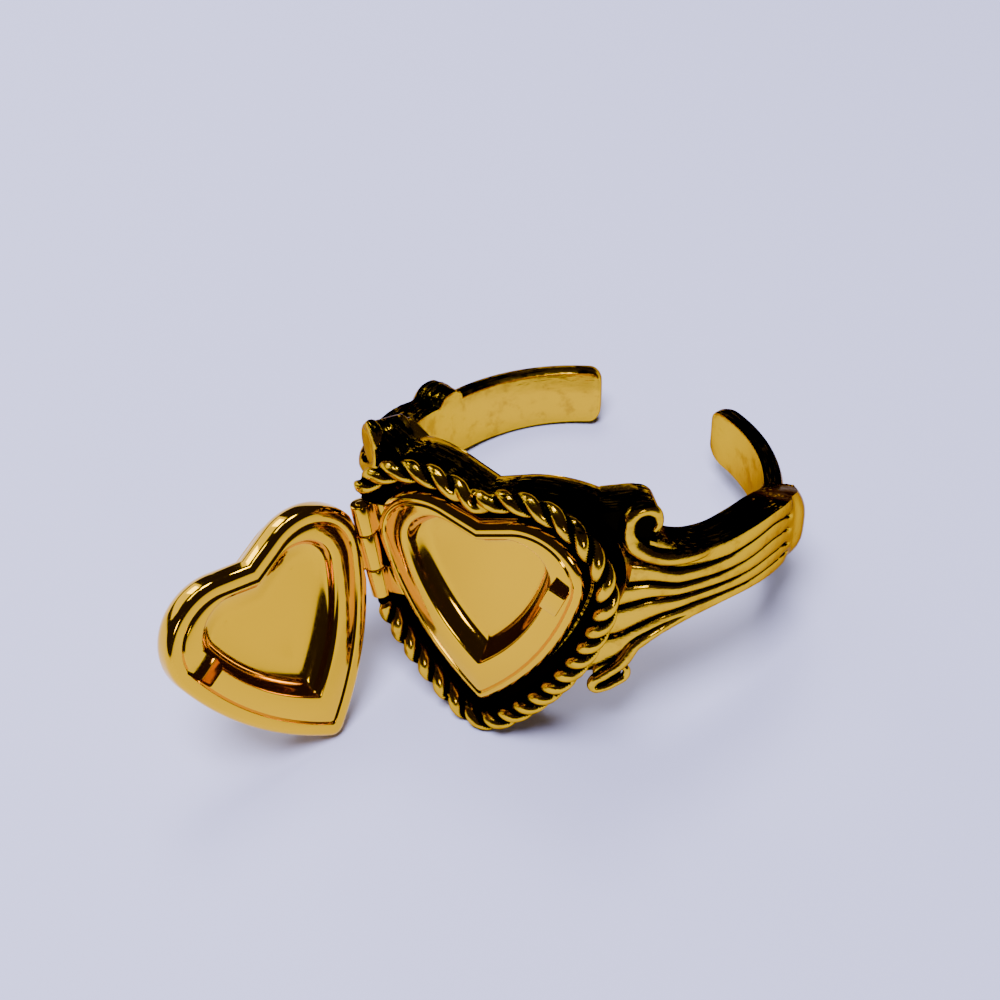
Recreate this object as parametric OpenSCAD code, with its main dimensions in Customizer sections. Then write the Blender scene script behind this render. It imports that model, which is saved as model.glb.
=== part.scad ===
// Adjustable ring with a heart locket on top, lying on its side with the lid open
// Lengths are in millimetres and angles in degrees
// Origin: on the axis of the finger hole, at the middle of the band's width
// +Z is up from the surface that the ring lies on, and the heart faces -Y

/* [Band] */
// Radius of the finger hole
finger_r = 8.35; // [8:0.05:9.2]
// Thickness of the open band behind the shoulders
band_t = 1; // [0.8:0.05:1.4]
// Width of the band where it leaves the shoulders
band_w = 3.3; // [2.6:0.1:3.6]
// Angle from the front of the ring round to the end of the band on the right
right_end_deg = 157; // [150:1:166]
// The same on the left
left_end_deg = 161; // [150:1:166]

/* [Shoulders] */
// Angle from the front at which the ribbed shoulders end in a step
step_deg = 109; // [104:1:114]
// Angle from the front at which the shoulders start, inside the head
root_deg = 27; // [25:1:29]
// Width across the ribs at their narrowest
shoulder_w = 3.4; // [3.1:0.1:4]
// Thickness of the shoulders outside the finger hole
shoulder_t = 1.95; // [1.6:0.05:2.2]
// How far the middle of the shoulders climbs towards the head
shoulder_rise = 2.15; // [1.8:0.05:2.4]
// Ribs on each shoulder
rib_count = 5; // [3:1:7]
// Depth of the grooves between the ribs
groove_depth = 0.38; // [0.2:0.02:0.5]
// Radius of the scroll that ends the top rib
top_scroll_r = 0.78; // [0.7:0.02:1]
// Radius of the scroll that ends the bottom rib
low_scroll_r = 0.8; // [0.6:0.05:1]

/* [Heart] */
// Width of the locket's heart
heart_w = 9.28; // [8.8:0.02:9.6]
// Height of the locket's heart from its tip to the tops of its lobes
heart_h = 10.21; // [9.8:0.01:10.6]
// Height of the centres of the lobes above the middle of the band
heart_z = 3.95; // [3.6:0.05:4.2]
// Distance from the axis of the finger hole to the face of the tray
face_y = 10.69; // [10.5:0.01:11]
// Slope of the two lines that meet in the notch
notch_deg = 19.8; // [16:0.2:24]

/* [Head] */
// How far the head stands out round the tray
head_margin = 1.25; // [1.2:0.05:1.4]
// Depth of the groove round the tray, behind the face of the tray
groove_d = 0.9; // [0.8:0.02:1]
// Depth of the head's edge that carries the rope
edge_d = 0.3; // [0.25:0.01:0.35]
// Distance from the heart's outline to the outside of the groove
groove_out = 0.85; // [0.75:0.01:0.9]
// Radius of the twisted rope border
rope_r = 0.47; // [0.42:0.01:0.5]
// Distance from the heart's outline to the middle of the rope
rope_out = 1.31; // [1.27:0.01:1.35]
// Depth of the rope's middle behind the face of the tray
rope_d = 0.1; // [0.06:0.01:0.14]
// Length of one twist of the rope, from one strand to the next
rope_pitch = 1.15; // [1:0.05:1.4]

/* [Locket] */
// Depth of the tray from its face to its seat
tray_depth = 1.35; // [1.25:0.01:1.4]
// Depth of the heart-shaped hollow in the tray, and of the one in the lid
hollow_d = 0.86; // [0.7:0.02:0.9]
// Height of the domed lid
lid_h = 1.86; // [1.7:0.02:2]
// How far the rounded rims of the tray and the lid stand out past the heart's outline
rim_out = 0.27; // [0.2:0.01:0.3]
// How far the lid's rim stands out past the tray's
lid_out = 0.14; // [0.1:0.01:0.16]
// Radius of the rounding of the rims
rim_r = 0.45; // [0.4:0.01:0.5]
// Gap between the closed lid and the tray's face
lid_gap = 0.05; // [0.04:0.01:0.1]
// Gap round the foot of the tray in the head
seat_gap = 0.05; // [0.03:0.01:0.08]
// How far the lid stands open
lid_open_deg = 111.5; // [90:0.5:115]

/* [Hinge] */
// Lean of the hinge against the heart's middle line
hinge_lean_deg = 10; // [8:0.5:12]
// Length of the three knuckles together
hinge_len = 4.7; // [4.3:0.1:4.9]
// Outer radius of the knuckles
knuckle_r = 0.45; // [0.42:0.01:0.47]
// Radius of the hinge pin
pin_r = 0.2; // [0.16:0.01:0.22]
// Gap between the pin and the lid's knuckle, and between knuckles end to end
hinge_gap = 0.05; // [0.04:0.01:0.08]
// Distance from the heart's outline to the hinge's axis
hinge_out = 0.6; // [0.58:0.01:0.64]
// Depth of the hinge's axis behind the face of the tray, negative as it lies in front
hinge_d = -0.05; // [-0.08:0.01:0]
// How far the middle of the hinge lies below the widest place of the heart
hinge_drop = 0.65; // [0.5:0.05:0.9]

/* [Catch] */
// Width of the catch along the ledge
catch_w = 1.2; // [0.9:0.05:1.4]
// Thickness of the catch across the ledge
catch_t = 0.86; // [0.7:0.02:0.9]
// Height of the catch above the ledge
catch_h = 0.45; // [0.3:0.01:0.5]
// Angle round the far lobe at which the catch stands
catch_deg = -22; // [-25:1:-18]
// Gap between the catch and its slot in the lid
catch_gap = 0.15; // [0.1:0.01:0.2]

/* [Rest] */
// Turn about X that brings the ring to lie on its side
rest_tilt_deg = -10.4; // [-13:0.1:-8]
// Turn about Y that lets the open lid reach the surface
rest_roll_deg = -8.6; // [-12:0.1:-4]

/* [Hidden] */

gold = "goldenrod";
polished_gold = "gold";
// How far pieces that are joined run into each other
bite = 0.3;
big = 40;

lobe_r = heart_w / 4;
lobe_c = [lobe_r, 0];
tip_z = heart_h - lobe_r;
side_deg = -15;
tip_r = 0.15;
tip_steps = 3;
side_steps = 6;
lobe_steps = 11;
// The side of the heart is one arc from the lobe to the tip
side_dir = [cos(side_deg), sin(side_deg)];
tip_to_lobe = [0, -tip_z] - lobe_c;
side_r = (tip_to_lobe * tip_to_lobe - 2 * lobe_r * (tip_to_lobe * side_dir) + lobe_r * lobe_r)
    / (2 * (lobe_r - tip_to_lobe * side_dir));
side_c = lobe_c + (lobe_r - side_r) * side_dir;

function arc(c, r, from, to, steps) =
    [for (i = [0:steps]) let (a = from + (to - from) * i / steps) c + r * [cos(a), sin(a)]];
function but_first(list) = [for (i = [1:len(list) - 1]) list[i]];
function mirrored(points) = [for (i = [len(points) - 2:-1:1]) [-points[i].x, points[i].y]];

// The right half of the heart from its tip to its notch, grown all round by grow
function half_heart(grow) =
    let (r = max(tip_r + grow, tip_r),
         tip_c = [0, side_c.y - sqrt(pow(side_r + grow - r, 2) - pow(side_c.x, 2))],
         join_deg = atan2(tip_c.y - side_c.y, tip_c.x - side_c.x))
    concat(arc(tip_c, r, -90, join_deg, tip_steps),
           but_first(arc(side_c, side_r + grow, join_deg, side_deg, side_steps)),
           but_first(arc(lobe_c, lobe_r + grow, side_deg, 90 + notch_deg, lobe_steps)),
           [[0, (lobe_r + grow - lobe_c.x * sin(notch_deg)) / cos(notch_deg)]]);
function heart(grow, share = 1) =
    let (half = half_heart(grow)) share * concat(half, mirrored(half));
// A point of the heart's plane, d behind the face of the tray
function on_head(p, d) = [p.x, d - face_y, heart_z + p.y];

// A closed skin through rings of as many points each, with a fan at each end
module skin(rings) {
    n = len(rings[0]);
    last = len(rings) - 1;
    ends = [mean(rings[0]), mean(rings[last])];
    points = concat([for (ring = rings) for (p = ring) p], ends);
    first_end = n * (last + 1);
    walls = [for (k = [0:last - 1]) for (i = [0:n - 1])
        let (j = (i + 1) % n, a = k * n + i, b = k * n + j)
        each [[a, a + n, b], [b, a + n, b + n]]];
    low = [for (i = [0:n - 1]) [first_end, i, (i + 1) % n]];
    high = [for (i = [0:n - 1]) [first_end + 1, last * n + (i + 1) % n, last * n + i]];
    polyhedron(points, concat(walls, low, high), convexity = 10);
}
function mean(points) = [for (axis = [0:2]) sum([for (p = points) p[axis]]) / len(points)];
function sum(list) = list * [for (i = [1:len(list)]) 1];

// Hearts stacked front to back: share of the heart, growth and depth behind the face
module heart_skin(rows) {
    skin([for (row = rows) [for (p = heart(row[1], row[0])) on_head(p, row[2])]]);
}
module heart_block(grow, front_d, back_d) {
    translate([0, back_d - face_y, heart_z])
        rotate([90, 0, 0])
            linear_extrude(back_d - front_d)
                polygon(heart(grow));
}

// A smooth value between the rows of a table, by the share along it in column 0
function smooth(rows, share, column) =
    let (last = len(rows) - 1,
         k = max([for (i = [0:last - 1]) rows[i][0] <= share ? i : 0]),
         t = (share - rows[k][0]) / (rows[k + 1][0] - rows[k][0]),
         v = [for (i = [-1:2]) rows[min(max(k + i, 0), last)][column]])
    v[1] + t / 2 * (v[2] - v[0] + t * (2 * v[0] - 5 * v[1] + 4 * v[2] - v[3]
        + t * (3 * (v[1] - v[2]) + v[3] - v[0])));
function around(r, deg, z) = [r * sin(deg), -r * cos(deg), z];

// Columns: share of the way to the step, middle as a share of the rise,
// width and thickness as shares of the shoulder's, and the middle of the left shoulder
shoulder_rows = [
    [0.00, 0.88, 2.05, 1.00, 0.88],
    [0.10, 0.98, 1.66, 1.00, 0.98],
    [0.20, 1.02, 1.30, 0.97, 1.00],
    [0.30, 1.06, 1.06, 0.94, 0.98],
    [0.42, 1.04, 0.97, 0.93, 0.88],
    [0.56, 1.00, 0.97, 0.95, 0.66],
    [0.70, 0.84, 0.99, 1.00, 0.38],
    [0.85, 0.44, 1.02, 1.04, 0.15],
    [1.00, 0.06, 1.03, 1.06, 0.04]];
shoulder_sections = 20;

// One section of a shoulder: a plain inner side, and the ribs down its outer side
function rib_section(deg, middle, width, outer) =
    let (top = middle + width / 2, rib = width / rib_count)
    concat(
        [around(finger_r - bite, deg, middle - width / 2), around(finger_r - bite, deg, top)],
        [for (k = [0:rib_count - 1]) each concat(
            [for (place = [[0.1, 0.4], [0.5, 0], [0.9, 0.4]])
                around(outer - groove_depth * place[1], deg, top - rib * (k + place[0]))],
            k < rib_count - 1 ? [around(outer - groove_depth, deg, top - rib * (k + 1))] : [])]);
module shoulder(middle) {
    skin([for (i = [0:shoulder_sections])
        let (share = i / shoulder_sections)
        rib_section(
            root_deg + (step_deg - root_deg) * share,
            shoulder_rise * smooth(shoulder_rows, share, middle),
            shoulder_w * smooth(shoulder_rows, share, 2),
            finger_r + shoulder_t * smooth(shoulder_rows, share, 3))]);
}

// Columns: share of the way from the shoulder to the end, and share of the width
band_rows = [
    [0.00, 1.00],
    [0.30, 0.96],
    [0.60, 0.93],
    [0.90, 0.90],
    [0.96, 0.82],
    [0.99, 0.68],
    [1.00, 0.50]];
band_edge = 0.28;
module band(end_deg) {
    start_deg = step_deg - 4;
    skin([for (row = band_rows)
        let (deg = start_deg + (end_deg - start_deg) * row[0],
             half = band_w * row[1] / 2,
             outer = finger_r + band_t)
        [around(finger_r - bite, deg, -half),
         around(finger_r - bite, deg, half),
         around(outer - band_edge, deg, half),
         around(outer, deg, half - band_edge),
         around(outer, deg, band_edge - half),
         around(outer - band_edge, deg, -half)]]);
}

// A round scroll that stands out from the shoulder, with a spiral cut into its face
scroll_cut = 0.25;
scroll_proud = 0.2;
scroll_turns = 1.25;
module scroll(r, deg, z, turn) {
    outer = finger_r + shoulder_t + scroll_proud;
    rotate([0, 0, deg])
        translate([0, 0, z])
            rotate([90, 0, 0])
                difference() {
                    cylinder(h = outer, r1 = 0, r2 = r, $fn = 48);
                    translate([0, 0, outer - scroll_cut])
                        linear_extrude(1)
                            scale([turn, 1])
                                spiral(r);
                }
}
module spiral(r) {
    steps = 20;
    inner = [for (i = [0:steps]) let (t = i / steps, a = 360 * scroll_turns * t)
        r * (0.16 + 0.5 * t) * [cos(a), sin(a)]];
    outer = [for (i = [steps:-1:0]) let (t = i / steps, a = 360 * scroll_turns * t)
        r * (0.3 + 0.56 * t) * [cos(a), sin(a)]];
    polygon(concat(inner, outer));
}
top_scroll_deg = 38.5;
low_scroll_deg = 31.5;
// Both scrolls hang on the edges of the shoulder near its root
top_scroll_z = shoulder_rise + shoulder_w / 2 + top_scroll_r + 1.45;
low_scroll_z = shoulder_rise - shoulder_w - 0.65 * low_scroll_r;
// Behind the top scroll's face a thick sheet runs back to the head's wall
// Columns: degrees from the head's middle, share of the scroll's radius up to its middle, half its thickness
sheet_rows = [
    [28.5, 0.35, 0.45],
    [31, 0.4, 0.42],
    [34, 0.3, 0.5],
    [38.5, 0, 0.62]];
module scroll_sheet() {
    inner = finger_r - bite;
    outer = finger_r + shoulder_t - 0.15;
    skin([for (row = sheet_rows)
        let (z = top_scroll_z + row[1] * top_scroll_r)
            [around(inner, row[0], z - row[2]),
             around(inner, row[0], z + row[2]),
             around(outer, row[0], z + row[2]),
             around(outer, row[0], z - row[2])]]);
}
module side(end_deg, middle) {
    shoulder(middle);
    scroll_sheet();
    band(end_deg);
    scroll(top_scroll_r, top_scroll_deg, top_scroll_z, 1);
    scroll(low_scroll_r, low_scroll_deg, low_scroll_z, -1);
}

// The hinge's axis runs beside the widest place of the heart, on the left
widest = [-lobe_c.x - (lobe_r + hinge_out) * cos(hinge_lean_deg), -(lobe_r + hinge_out) * sin(hinge_lean_deg)];
hinge_at = widest + hinge_drop * [sin(hinge_lean_deg), -cos(hinge_lean_deg)];

// The rope's route is the heart's outline, measured along its length from the tip
rope_line = let (outline = heart(rope_out)) concat(outline, [outline[0]]);
rope_marks = [for (i = 0, s = 0; i < len(rope_line);
    s = s + (i < len(rope_line) - 1 ? norm(rope_line[i + 1] - rope_line[i]) : 0), i = i + 1) s];
rope_total = rope_marks[len(rope_marks) - 1];
rope_x = [for (i = [0:len(rope_line) - 1]) [rope_marks[i], rope_line[i].x]];
rope_y = [for (i = [0:len(rope_line) - 1]) [rope_marks[i], rope_line[i].y]];
side_marks = [for (i = [0:tip_steps + side_steps + 4]) [rope_line[i].y, rope_marks[i]]];
function rope_point(s) =
    let (t = (s % rope_total + rope_total) % rope_total) [lookup(t, rope_x), lookup(t, rope_y)];
// It stops on either side of the hinge
// Room left between the rope's two ends and the knuckles
rope_clear = [0.3, 0.5];
rope_low = hinge_at.y - hinge_len / 2 - rope_clear[0];
rope_high = hinge_at.y + hinge_len / 2 + rope_clear[1];
rope_start = -lookup(rope_low, side_marks);
rope_end = rope_total - lookup(rope_high, side_marks);
rope_twists = round((rope_end - rope_start) / rope_pitch);
rope_rings = 6;
rope_sides = 10;
rope_waist = 0.3;
module rope() {
    count = rope_twists * rope_rings;
    skin([for (i = [0:count])
        let (s = rope_start + (rope_end - rope_start) * i / count,
             ahead = rope_point(s + rope_pitch / 4) - rope_point(s - rope_pitch / 4),
             out = [ahead.y, -ahead.x] / norm(ahead),
             twist = 180 * i / rope_rings)
        [for (k = [0:rope_sides - 1])
            let (a = 360 * k / rope_sides,
                 r = rope_r * (1 - rope_waist * (1 - cos(2 * (a - twist))) / 2))
            on_head(rope_point(s) + r * cos(a) * out, rope_d + r * sin(a))]]);
}

module at_hinge() {
    translate(on_head(hinge_at, hinge_d)) rotate([0, -hinge_lean_deg, 0]) children();
}
module swung(deg) {
    at_hinge()
        rotate([0, 0, -deg])
            rotate([0, hinge_lean_deg, 0])
                translate(-on_head(hinge_at, hinge_d))
                    children();
}
// The lid's knuckle takes its share of the length, and the tray's two the rest
lid_knuckle_share = 0.37;
lid_knuckle_len = hinge_len * lid_knuckle_share;
tray_knuckle_len = (hinge_len - lid_knuckle_len) / 2 - hinge_gap;
strap_t = 0.32;
// How far a strap's edge stands off the knuckle's outside
strap_step = 0.03;
// A knuckle and the strap that joins it to its wall, which starts at near and lies behind the pin
module knuckle(length, near, strap_to) {
    cylinder(h = length, r = knuckle_r, center = true, $fn = 48);
    translate([near, knuckle_r - strap_step - strap_t, -length / 2])
        cube([strap_to - near, strap_t, length]);
}
// The lid's knuckle hangs from a strap that stays in front of the lid's flat face
module lid_knuckle() {
    strap_front = hinge_d + lid_gap + strap_step;
    cylinder(h = lid_knuckle_len, r = knuckle_r, center = true, $fn = 48);
    translate([-knuckle_r / 2, -strap_front - strap_t, -lid_knuckle_len / 2])
        cube([knuckle_r / 2 + hinge_out + bite, strap_t, lid_knuckle_len]);
}
module tray_knuckles() {
    for (end = [-1, 1])
        translate([0, 0, end * (hinge_len - tray_knuckle_len) / 2])
            knuckle(tray_knuckle_len, 0, hinge_out + 2 * bite);
}

module ring() {
    color(gold)
        difference() {
            union() {
                difference() {
                    heart_block(head_margin, edge_d, face_y - finger_r / 2);
                    heart_block(groove_out, -1, groove_d);
                }
                rope();
                side(right_end_deg, 1);
                mirror([1, 0, 0]) side(left_end_deg, 4);
            }
            cylinder(h = big, r = finger_r, center = true, $fn = 180);
            heart_block(rim_out + seat_gap, -1, tray_depth + seat_gap);
            at_hinge() hinge_room();
        }
}
// Room in the head's margin for the knuckles and for the lid's edge as it swings
hinge_room_gap = 0.2;
module hinge_room() {
    length = hinge_len + 2 * hinge_room_gap;
    depth = knuckle_r + hinge_room_gap;
    translate([-head_margin, -depth, -length / 2]) cube([head_margin + knuckle_r, 2 * depth, length]);
}

// The rounded rim from its outside to its crest: growth outwards and depth behind the face
rounding_steps = 4;
rounding = [for (i = [0:rounding_steps]) let (a = 90 * i / rounding_steps)
    [rim_out - rim_r * (1 - cos(a)), rim_r * (1 - sin(a))]];
// Columns: share of the heart, depth as a share of the hollow's
hollow_rows = [
    [0.745, 0],
    [0.72, 0.05],
    [0.695, 0.24],
    [0.65, 0.84],
    [0.62, 0.98],
    [0.59, 1]];
module locket_tray() {
    foot = 0.12;
    gutter = 0.1;
    color(polished_gold)
        difference() {
            union() {
                heart_skin(concat(
                    [[1, rim_out - foot, tray_depth],
                     [1, rim_out, tray_depth - foot]],
                    [for (row = rounding) [1, row[0], row[1]]],
                    [[1, rim_out - rim_r - gutter / 2, gutter],
                     [1, rim_out - rim_r - gutter, gutter],
                     [1, rim_out - rim_r - 1.5 * gutter, 0]],
                    [for (row = hollow_rows) [row[0], 0, row[1] * hollow_d]]));
                at_hinge() tray_knuckles();
                catch(0);
            }
            at_hinge() cylinder(h = hinge_len + 1, r = pin_r, center = true, $fn = 48);
            at_hinge() cylinder(h = lid_knuckle_len + 2 * hinge_gap, r = knuckle_r + hinge_gap, center = true, $fn = 48);
        }
}
// The catch stands on the ledge of the far lobe, and its slot in the lid is larger by gap
catch_in = 0.85;
module catch(gap) {
    place = lobe_c + (lobe_r - catch_in) * [cos(catch_deg), sin(catch_deg)];
    translate(on_head(place, 0))
        rotate([0, -catch_deg, 0])
            translate([-catch_t / 2 - gap, -catch_h - gap, -catch_w / 2 - gap])
                cube([catch_t + 2 * gap, catch_h + gap + bite, catch_w + 2 * gap]);
}

// Columns: share of the heart, growth as a share of the rim's, share of the lid's height
dome_rows = [
    [1, 1, 0.42],
    [1, 0.6, 0.6],
    [1, -0.4, 0.74],
    [0.9, 0, 0.84],
    [0.74, 0, 0.93],
    [0.5, 0, 0.985],
    [0.25, 0, 1]];
module closed_lid() {
    face = -lid_gap;
    knuckle_cut = knuckle_r + 2 * hinge_gap;
    difference() {
        union() {
            difference() {
                heart_skin(concat(
                    [for (i = [len(hollow_rows) - 1:-1:0]) let (row = hollow_rows[i])
                        [row[0], 0, face - row[1] * hollow_d]],
                    [for (i = [rounding_steps:-1:0]) [1, rounding[i][0] + lid_out, face - rounding[i][1]]],
                    [for (row = dome_rows) [row[0], row[1] * rim_out + lid_out, face - row[2] * lid_h]]));
                at_hinge() cylinder(h = hinge_len + 4 * hinge_gap, r = knuckle_cut, center = true, $fn = 48);
            }
            at_hinge() lid_knuckle();
        }
        at_hinge() cylinder(h = lid_knuckle_len + bite, r = pin_r + hinge_gap, center = true, $fn = 48);
        catch(catch_gap);
    }
}
module locket_lid() {
    color(polished_gold) swung(lid_open_deg) closed_lid();
}
module hinge_pin() {
    color(gold) at_hinge() cylinder(h = hinge_len, r = pin_r, center = true, $fn = 48);
}

module at_rest() {
    rotate([rest_tilt_deg, rest_roll_deg, 0]) children();
}
at_rest() ring();
at_rest() locket_tray();
at_rest() locket_lid();
at_rest() hinge_pin();
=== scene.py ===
import math
import bpy
import bmesh
from mathutils import Matrix, Vector


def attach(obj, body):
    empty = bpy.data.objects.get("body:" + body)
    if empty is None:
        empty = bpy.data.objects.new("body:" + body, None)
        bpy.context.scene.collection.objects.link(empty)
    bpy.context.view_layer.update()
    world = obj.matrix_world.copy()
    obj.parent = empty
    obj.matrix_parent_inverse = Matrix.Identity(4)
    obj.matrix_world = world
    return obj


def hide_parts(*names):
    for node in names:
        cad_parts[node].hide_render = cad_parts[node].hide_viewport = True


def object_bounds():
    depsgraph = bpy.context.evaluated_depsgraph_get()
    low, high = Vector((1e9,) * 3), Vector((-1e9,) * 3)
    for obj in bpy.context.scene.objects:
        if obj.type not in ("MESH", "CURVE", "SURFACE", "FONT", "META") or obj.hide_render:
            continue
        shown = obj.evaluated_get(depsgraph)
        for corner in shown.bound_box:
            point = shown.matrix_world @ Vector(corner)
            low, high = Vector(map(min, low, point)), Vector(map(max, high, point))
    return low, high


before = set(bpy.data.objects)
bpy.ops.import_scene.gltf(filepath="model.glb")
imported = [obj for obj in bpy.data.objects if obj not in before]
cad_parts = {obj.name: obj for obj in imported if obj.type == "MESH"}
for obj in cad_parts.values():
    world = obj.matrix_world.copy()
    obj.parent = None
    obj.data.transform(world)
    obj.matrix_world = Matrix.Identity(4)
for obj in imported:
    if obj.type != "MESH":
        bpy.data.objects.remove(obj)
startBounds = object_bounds()
mm = 0.001  # sizes are in millimetres and angles in degrees

lieAngles = {"roll": -8.6, "tilt": -10.4}

# Everything is modelled upright, with the finger hole's axis along Z, and then laid down
layDown = (Matrix.Rotation(math.radians(lieAngles["roll"]), 4, "Y")
           @ Matrix.Rotation(math.radians(lieAngles["tilt"]), 4, "X"))

heartSize = {
    "width": 9.28,
    "height": 10.21,
    "tipRadius": 0.15,
    "sideAngle": -15,
    "notchSlope": 19.8,
    "steps": (6, 26, 42),  # of the half outline's three arcs: tip, side and lobe
    "lobeHeight": 3.95,  # lobe centres above the middle of the band
    "faceDistance": 10.69,  # from the finger hole's axis to the tray's face
    "holeRadius": 8.35,  # finger hole
}


def arcPoints(centre, radius, start, end, steps):
    return [(centre[0] + radius * math.cos(math.radians(start + (end - start) * i / steps)),
             centre[1] + radius * math.sin(math.radians(start + (end - start) * i / steps)))
            for i in range(steps + 1)]


def heartOutline(grow, share=1.0, detail=1.0):
    # Right half from the tip to the notch, then its mirror image
    lobe = heartSize["width"] / 4
    tipDrop = heartSize["height"] - lobe
    sideAngle = heartSize["sideAngle"]
    slope = math.radians(heartSize["notchSlope"])
    sideX, sideY = math.cos(math.radians(sideAngle)), math.sin(math.radians(sideAngle))
    along = -lobe * sideX - tipDrop * sideY
    sideRadius = (lobe ** 2 + tipDrop ** 2 - 2 * lobe * along + lobe ** 2) / (2 * (lobe - along))
    sideCentre = (lobe + (lobe - sideRadius) * sideX, (lobe - sideRadius) * sideY)
    tipRadius = max(heartSize["tipRadius"] + grow, heartSize["tipRadius"])
    tipCentre = (0, sideCentre[1] - math.sqrt((sideRadius + grow - tipRadius) ** 2 - sideCentre[0] ** 2))
    join = math.degrees(math.atan2(tipCentre[1] - sideCentre[1], tipCentre[0] - sideCentre[0]))
    notch = 90 + heartSize["notchSlope"]
    tipSteps, sideSteps, lobeSteps = (round(steps * detail) for steps in heartSize["steps"])
    half = arcPoints(tipCentre, tipRadius, -90, join, tipSteps)
    half += arcPoints(sideCentre, sideRadius + grow, join, sideAngle, sideSteps)[1:]
    half += arcPoints((lobe, 0), lobe + grow, sideAngle, notch, lobeSteps)[1:]
    half.append((0, (lobe + grow - lobe * math.sin(slope)) / math.cos(slope)))
    points = half + [(-x, y) for x, y in reversed(half[1:-1])]
    return [(share * x, share * y) for x, y in points]


def onHead(point, depth):
    return Vector((point[0], depth - heartSize["faceDistance"], heartSize["lobeHeight"] + point[1])) * mm


def aroundHole(radius, angle, height):
    turn = math.radians(angle)
    return Vector((radius * math.sin(turn), -radius * math.cos(turn), height)) * mm


def holeDepth(x):
    # From the tray's face back to the finger hole
    return heartSize["faceDistance"] - math.sqrt(heartSize["holeRadius"] ** 2 - x ** 2)


def deselectAll():
    if bpy.context.object and bpy.context.object.mode != "OBJECT":
        bpy.ops.object.mode_set(mode="OBJECT")
    bpy.ops.object.select_all(action="DESELECT")


def pickOnly(obj):
    deselectAll()
    obj.select_set(True)
    bpy.context.view_layer.objects.active = obj


def placeSelected(mesh, places, onto):
    # Each selected corner stands on a place of the section before, and goes to the same one of the next
    index = {tuple(round(c * 1e7) for c in place): i for i, place in enumerate(places)}
    for corner in mesh.verts:
        if corner.select:
            corner.co = onto[index[tuple(round(c * 1e7) for c in corner.co)]]


def loftSections(name, sections):
    # A ring of corners is laid on the first section and extruded from each section to the next
    deselectAll()
    count = len(sections[0])
    bpy.ops.mesh.primitive_circle_add(vertices=count, radius=1, fill_type="NOTHING")
    obj = bpy.context.object
    obj.name = name
    for corner, place in zip(obj.data.vertices, sections[0]):
        corner.co = place
    bpy.ops.object.mode_set(mode="EDIT")
    bpy.ops.mesh.select_mode(type="VERT")
    bpy.ops.mesh.select_all(action="SELECT")
    bpy.ops.mesh.edge_face_add()
    for before, after in zip(sections, sections[1:]):
        bpy.ops.mesh.extrude_region_move()
        mesh = bmesh.from_edit_mesh(obj.data)
        placeSelected(mesh, [Vector(p) for p in before], after)
        bmesh.update_edit_mesh(obj.data)
    bpy.ops.mesh.select_all(action="SELECT")
    bpy.ops.mesh.normals_make_consistent(inside=False)
    bpy.ops.object.mode_set(mode="OBJECT")
    return obj


def smoothTable(rows, at, column):
    # Catmull-Rom between the rows of a table, by the value in column 0
    last = len(rows) - 1
    k = max([i for i in range(last) if rows[i][0] <= at] + [0])
    t = (at - rows[k][0]) / (rows[k + 1][0] - rows[k][0])
    a, b, c, d = [rows[min(max(k + i, 0), last)][column] for i in (-1, 0, 1, 2)]
    return b + t / 2 * (c - a + t * (2 * a - 5 * b + 4 * c - d + t * (3 * (b - c) + d - a)))


def bead(name, path, radii, resolution=8, roundness=5):
    # A round bead along a smooth curve, thicker or thinner from point to point
    deselectAll()
    bpy.ops.curve.primitive_bezier_curve_add()
    obj = bpy.context.object
    obj.name = name
    spline = obj.data.splines[0]
    spline.bezier_points.add(len(path) - 2)
    for point, place, radius in zip(spline.bezier_points, path, radii):
        point.co = place
        point.radius = radius
        point.handle_left_type = point.handle_right_type = "AUTO"
    obj.data.resolution_u = resolution
    obj.data.bevel_depth = mm
    obj.data.bevel_resolution = roundness
    obj.data.use_fill_caps = True
    bpy.ops.object.convert(target="MESH")
    return bpy.context.object


def bevelled(obj, width, segments=3):
    pickOnly(obj)
    bevel = obj.modifiers.new("soft edges", "BEVEL")
    bevel.width = width * mm
    bevel.segments = segments
    bevel.limit_method = "ANGLE"
    bpy.ops.object.modifier_apply(modifier=bevel.name)
    return obj


def addRod(name, radius, length, matrix, bevel=0.05):
    deselectAll()
    bpy.ops.mesh.primitive_cylinder_add(vertices=48, radius=radius * mm, depth=length * mm)
    obj = bpy.context.object
    obj.name = name
    bevelled(obj, bevel)
    obj.matrix_world = matrix @ obj.matrix_world
    bpy.ops.object.transform_apply(location=True, rotation=True, scale=True)
    return obj


def addBlock(name, low, high, matrix, bevel=0.05):
    deselectAll()
    bpy.ops.mesh.primitive_cube_add(size=1)
    obj = bpy.context.object
    obj.name = name
    for corner in obj.data.vertices:
        corner.co = Vector([(high[i] if corner.co[i] > 0 else low[i]) * mm for i in range(3)])
    bevelled(obj, bevel)
    obj.matrix_world = matrix
    bpy.ops.object.transform_apply(location=True, rotation=True, scale=True)
    return obj


def cutAway(obj, cutter):
    pickOnly(obj)
    cut = obj.modifiers.new("cut", "BOOLEAN")
    cut.operation = "DIFFERENCE"
    cut.solver = "EXACT"
    cut.object = cutter
    bpy.ops.object.modifier_apply(modifier=cut.name)
    bpy.data.objects.remove(cutter)
    return obj


def joined(name, pieces, smoothAngle=40, turn=None):
    deselectAll()
    for piece in pieces:
        piece.select_set(True)
    bpy.context.view_layer.objects.active = pieces[0]
    if len(pieces) > 1:
        bpy.ops.object.join()
    obj = bpy.context.object
    obj.name = name
    obj.matrix_world = layDown @ (turn or Matrix.Identity(4))
    bpy.ops.object.transform_apply(location=True, rotation=True, scale=True)
    bpy.ops.object.shade_smooth_by_angle(angle=math.radians(smoothAngle))
    return obj


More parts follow.
